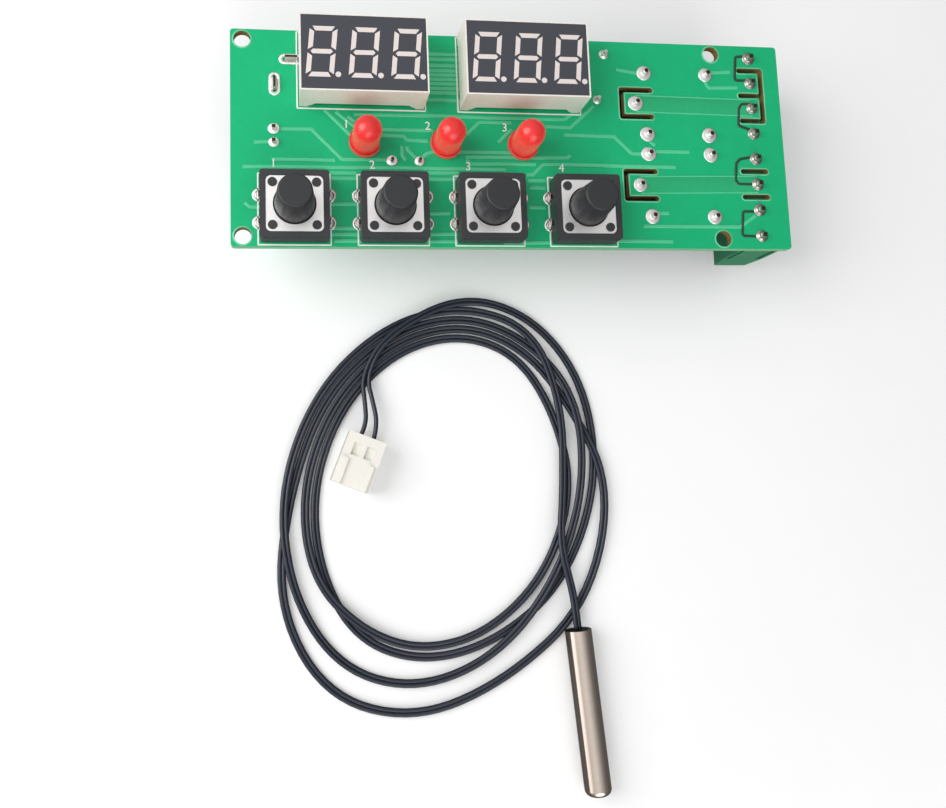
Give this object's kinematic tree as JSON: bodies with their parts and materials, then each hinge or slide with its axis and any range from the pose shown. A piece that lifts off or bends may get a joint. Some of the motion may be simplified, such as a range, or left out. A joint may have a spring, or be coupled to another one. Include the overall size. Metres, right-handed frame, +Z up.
{
  "type": "oven controller board",
  "caption": "Bare oven controller board with digit displays, indicator lamps, push switches, relays and clamp terminals, and an unplugged thermistor probe on a coiled lead.",
  "frame": {"origin": "on the surface that the controller stands on, under the middle of the circuit board", "axes": "+X along the board towards the screw terminals, +Y from the push switches to the displays, +Z up, out of the display side"},
  "size_m": [0.104, 0.14, 0.0287],
  "materials": {
    "solder_mask": "satin green solder mask",
    "display_housing": "moulded light grey",
    "display_film": "dark slate film",
    "display_segment": "milky light guide",
    "lamp": "clear red epoxy",
    "tinned_lead": "tinned",
    "switch_base": "moulded black",
    "switch_plunger": "smooth charcoal",
    "cover_plate": "bright pressed steel",
    "snap_dome": "spring steel",
    "relay_case": "moulded blue",
    "relay_base": "moulded black",
    "relay_works": "coil and contacts as one block",
    "terminal_housing": "moulded green",
    "terminal_screw": "zinc plated",
    "terminal_cage": "zinc plated",
    "terminal_contact": "tinned brass",
    "jack_body": "moulded black",
    "jack_contact": "nickel plated brass",
    "nylon": "natural white nylon",
    "capacitor": "black shrink sleeve",
    "chip": "moulded black",
    "sleeve": "polished stainless steel",
    "seal": "potting",
    "lead": "black twin lead"
  },
  "bodies": {
    "controller": {"circuit_board": "solder_mask", "display_left_housing": "display_housing", "display_right_housing": "display_housing", "display_left_face": "display_film", "display_right_face": "display_film", "display_left_segments": "display_segment", "display_right_segments": "display_segment", "indicator_left": "lamp", "indicator_middle": "lamp", "indicator_right": "lamp", "display_pins": "tinned_lead", "indicator_leads": "tinned_lead", "switch_legs": "tinned_lead", "relay_pins": "tinned_lead", "probe_header_pins": "tinned_lead", "switch_1_base": "switch_base", "switch_2_base": "switch_base", "switch_3_base": "switch_base", "switch_4_base": "switch_base", "switch_cover_plates": "cover_plate", "switch_domes": "snap_dome", "relay_1_case": "relay_case", "relay_2_case": "relay_case", "relay_bases": "relay_base", "relay_works": "relay_works", "terminal_1_housing": "terminal_housing", "terminal_2_housing": "terminal_housing", "terminal_3_housing": "terminal_housing", "terminal_4_housing": "terminal_housing", "terminal_contacts": "terminal_contact", "dc_jack_body": "jack_body", "dc_jack_contacts": "jack_contact", "probe_header": "nylon", "probe_plug": "nylon", "capacitor": "capacitor", "microcontroller": "chip", "small_parts": "chip", "probe_sleeve": "sleeve", "probe_seal": "seal", "probe_lead": "lead"},
    "button_1": {"switch_1_plunger": "switch_plunger"},
    "button_2": {"switch_2_plunger": "switch_plunger"},
    "button_3": {"switch_3_plunger": "switch_plunger"},
    "button_4": {"switch_4_plunger": "switch_plunger"},
    "screw_1": {"terminal_screw_1": "terminal_screw"},
    "cage_1": {"terminal_cage_1": "terminal_cage"},
    "screw_2": {"terminal_screw_2": "terminal_screw"},
    "cage_2": {"terminal_cage_2": "terminal_cage"},
    "screw_3": {"terminal_screw_3": "terminal_screw"},
    "cage_3": {"terminal_cage_3": "terminal_cage"},
    "screw_4": {"terminal_screw_4": "terminal_screw"},
    "cage_4": {"terminal_cage_4": "terminal_cage"},
    "screw_5": {"terminal_screw_5": "terminal_screw"},
    "cage_5": {"terminal_cage_5": "terminal_cage"},
    "screw_6": {"terminal_screw_6": "terminal_screw"},
    "cage_6": {"terminal_cage_6": "terminal_cage"},
    "screw_7": {"terminal_screw_7": "terminal_screw"},
    "cage_7": {"terminal_cage_7": "terminal_cage"},
    "screw_8": {"terminal_screw_8": "terminal_screw"},
    "cage_8": {"terminal_cage_8": "terminal_cage"}
  },
  "joints": [
    {"name": "press_1", "type": "slide", "parent": "controller", "child": "button_1", "axis": [0, 0, -1], "range_m": [0, 0.00035], "stiffness_N_per_m": 5000, "springref_m": -0.00015},
    {"name": "press_2", "type": "slide", "parent": "controller", "child": "button_2", "axis": [0, 0, -1], "range_m": [0, 0.00035], "stiffness_N_per_m": 5000, "springref_m": -0.00015},
    {"name": "press_3", "type": "slide", "parent": "controller", "child": "button_3", "axis": [0, 0, -1], "range_m": [0, 0.00035], "stiffness_N_per_m": 5000, "springref_m": -0.00015},
    {"name": "press_4", "type": "slide", "parent": "controller", "child": "button_4", "axis": [0, 0, -1], "range_m": [0, 0.00035], "stiffness_N_per_m": 5000, "springref_m": -0.00015},
    {"name": "screw_turn_1", "type": "hinge", "parent": "controller", "child": "screw_1", "pos_m": [0.0462, 0.0175, 0.006], "axis": [0, 0, 1], "range_deg": [0, 1800]},
    {"name": "cage_lift_1", "type": "slide", "parent": "controller", "child": "cage_1", "axis": [0, 0, -1], "range_m": [0, 0.0025]},
    {"name": "screw_turn_2", "type": "hinge", "parent": "controller", "child": "screw_2", "pos_m": [0.0462, 0.0125, 0.006], "axis": [0, 0, 1], "range_deg": [0, 1800]},
    {"name": "cage_lift_2", "type": "slide", "parent": "controller", "child": "cage_2", "axis": [0, 0, -1], "range_m": [0, 0.0025]},
    {"name": "screw_turn_3", "type": "hinge", "parent": "controller", "child": "screw_3", "pos_m": [0.0462, 0.0075, 0.006], "axis": [0, 0, 1], "range_deg": [0, 1800]},
    {"name": "cage_lift_3", "type": "slide", "parent": "controller", "child": "cage_3", "axis": [0, 0, -1], "range_m": [0, 0.0025]},
    {"name": "screw_turn_4", "type": "hinge", "parent": "controller", "child": "screw_4", "pos_m": [0.0462, 0.0025, 0.006], "axis": [0, 0, 1], "range_deg": [0, 1800]},
    {"name": "cage_lift_4", "type": "slide", "parent": "controller", "child": "cage_4", "axis": [0, 0, -1], "range_m": [0, 0.0025]},
    {"name": "screw_turn_5", "type": "hinge", "parent": "controller", "child": "screw_5", "pos_m": [0.0462, -0.0025, 0.006], "axis": [0, 0, 1], "range_deg": [0, 1800]},
    {"name": "cage_lift_5", "type": "slide", "parent": "controller", "child": "cage_5", "axis": [0, 0, -1], "range_m": [0, 0.0025]},
    {"name": "screw_turn_6", "type": "hinge", "parent": "controller", "child": "screw_6", "pos_m": [0.0462, -0.0075, 0.006], "axis": [0, 0, 1], "range_deg": [0, 1800]},
    {"name": "cage_lift_6", "type": "slide", "parent": "controller", "child": "cage_6", "axis": [0, 0, -1], "range_m": [0, 0.0025]},
    {"name": "screw_turn_7", "type": "hinge", "parent": "controller", "child": "screw_7", "pos_m": [0.0462, -0.0125, 0.006], "axis": [0, 0, 1], "range_deg": [0, 1800]},
    {"name": "cage_lift_7", "type": "slide", "parent": "controller", "child": "cage_7", "axis": [0, 0, -1], "range_m": [0, 0.0025]},
    {"name": "screw_turn_8", "type": "hinge", "parent": "controller", "child": "screw_8", "pos_m": [0.0462, -0.0175, 0.006], "axis": [0, 0, 1], "range_deg": [0, 1800]},
    {"name": "cage_lift_8", "type": "slide", "parent": "controller", "child": "cage_8", "axis": [0, 0, -1], "range_m": [0, 0.0025]}
  ],
  "couplings": [
    {"joint": "screw_turn_1", "follows": "cage_lift_1", "rad_per_m": 12566},
    {"joint": "screw_turn_2", "follows": "cage_lift_2", "rad_per_m": 12566},
    {"joint": "screw_turn_3", "follows": "cage_lift_3", "rad_per_m": 12566},
    {"joint": "screw_turn_4", "follows": "cage_lift_4", "rad_per_m": 12566},
    {"joint": "screw_turn_5", "follows": "cage_lift_5", "rad_per_m": 12566},
    {"joint": "screw_turn_6", "follows": "cage_lift_6", "rad_per_m": 12566},
    {"joint": "screw_turn_7", "follows": "cage_lift_7", "rad_per_m": 12566},
    {"joint": "screw_turn_8", "follows": "cage_lift_8", "rad_per_m": 12566}
  ]
}
